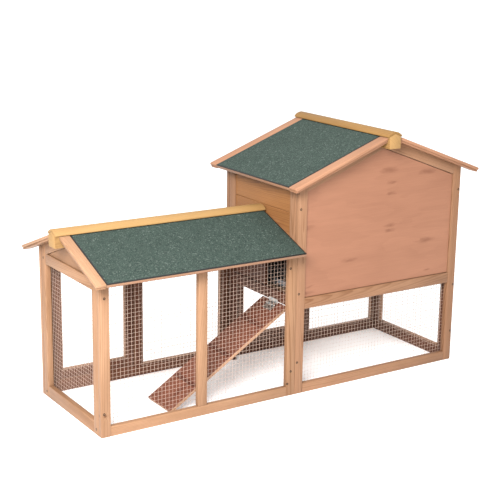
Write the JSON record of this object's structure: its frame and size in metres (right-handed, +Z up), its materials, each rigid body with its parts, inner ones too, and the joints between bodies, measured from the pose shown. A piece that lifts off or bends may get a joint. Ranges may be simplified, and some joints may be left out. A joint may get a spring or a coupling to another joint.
{
  "type": "rabbit hutch",
  "caption": "Two-storey wooden rabbit hutch: a low mesh run with a pitched roof beside a taller house, with a ramp, hinged doors, a lifting roof and a pull-out tray.",
  "frame": {"origin": "on the ground, under the middle of the whole hutch's box", "axes": "+X along the hutch from the run to the house, +Y from the back panel to the front with the doors, +Z up"},
  "size_m": [1.4676, 0.538, 0.848],
  "materials": {
    "run_timber": "planed fir, light honey stain, satin",
    "house_timber": "planed fir, warm tan stain, satin",
    "ridge_timber": "planed pale pine, yellow honey stain",
    "plywood": "rotary-cut plywood, pinkish brown, matt",
    "matchboard": "tongue and groove fir boards, tan stain",
    "ramp_board": "red-brown stained board, matt",
    "roof_felt": "green mineral-grained roofing felt, rough",
    "wire_mesh": "galvanised welded wire",
    "plated_steel": "zinc-plated pressed steel",
    "tray_steel": "galvanised sheet"
  },
  "bodies": {
    "hutch": {"run_back_left_stile": "run_timber", "run_back_centre_stile": "run_timber", "run_back_right_stile": "run_timber", "run_back_bottom_rail": "run_timber", "run_back_top_rail": "run_timber", "run_end_frame": "run_timber", "run_front_frame": "run_timber", "run_roof_back_batten": "run_timber", "run_roof_front_batten": "run_timber", "house_back_left_stile": "house_timber", "house_back_right_stile": "house_timber", "house_back_bottom_rail": "house_timber", "house_back_middle_rail": "house_timber", "house_back_left_rafter": "house_timber", "house_back_right_rafter": "house_timber", "house_left_frame": "house_timber", "house_right_frame": "house_timber", "house_front_frame": "house_timber", "house_roof_left_back_batten": "house_timber", "house_roof_left_front_batten": "house_timber", "run_ridge_beam": "ridge_timber", "run_ridge_cap": "ridge_timber", "house_ridge_beam": "ridge_timber", "house_ridge_cap": "ridge_timber", "run_end_gable": "plywood", "run_roof_back_board": "plywood", "run_roof_front_board": "plywood", "house_back_panel": "plywood", "house_front_gable": "plywood", "house_floor": "plywood", "house_roof_left_board": "plywood", "house_left_boards": "matchboard", "house_right_boards": "matchboard", "run_roof_back_felt": "roof_felt", "run_roof_front_felt": "roof_felt", "house_roof_left_felt": "roof_felt", "run_back_mesh": "wire_mesh", "run_end_mesh": "wire_mesh", "run_front_mesh": "wire_mesh", "house_back_mesh": "wire_mesh", "house_right_mesh": "wire_mesh", "house_front_mesh": "wire_mesh"},
    "run_door": {"run_door_frame": "run_timber", "run_door_mesh": "wire_mesh", "run_door_hinge_upper": "plated_steel", "run_door_hinge_lower": "plated_steel"},
    "run_door_button": {"run_door_button": "plated_steel"},
    "house_door": {"house_door": "house_timber", "house_door_hinge_upper": "plated_steel", "house_door_hinge_lower": "plated_steel"},
    "house_door_button": {"house_door_button": "plated_steel"},
    "tray": {"tray": "tray_steel"},
    "roof_lid": {"house_roof_right_board": "plywood", "house_roof_right_felt": "roof_felt", "house_roof_right_back_batten": "house_timber", "house_roof_right_front_batten": "house_timber", "roof_lid_hinge_back": "plated_steel", "roof_lid_hinge_front": "plated_steel"},
    "ramp": {"ramp": "ramp_board", "ramp_hinge": "plated_steel"}
  },
  "joints": [
    {"name": "run_door_swing", "type": "hinge", "parent": "hutch", "child": "run_door", "pos_m": [-0.6514, 0.219, 0.2445], "axis": [0, 0, 1], "range_deg": [0, 160]},
    {"name": "run_door_button_turn", "type": "hinge", "parent": "hutch", "child": "run_door_button", "pos_m": [-0.3414, 0.2154, 0.2445], "axis": [0, 1, 0], "range_deg": [0, 90]},
    {"name": "house_door_swing", "type": "hinge", "parent": "hutch", "child": "house_door", "pos_m": [0.6572, 0.219, 0.502], "axis": [0, 0, -1], "range_deg": [0, 160]},
    {"name": "house_door_button_turn", "type": "hinge", "parent": "hutch", "child": "house_door_button", "pos_m": [0.0282, 0.2154, 0.55262], "axis": [0, 1, 0], "range_deg": [0, 90]},
    {"name": "tray_pull", "type": "slide", "parent": "hutch", "child": "tray", "axis": [0, 1, 0], "range_m": [0, 0.34]},
    {"name": "roof_lid_lift", "type": "hinge", "parent": "hutch", "child": "roof_lid", "pos_m": [0.3837, 0, 0.83112], "axis": [0, -1, 0], "range_deg": [0, 105]},
    {"name": "ramp_lift", "type": "hinge", "parent": "hutch", "child": "ramp", "pos_m": [0.0002, -0.084, 0.278], "axis": [0, 1, 0], "range_deg": [0, 45]}
  ]
}
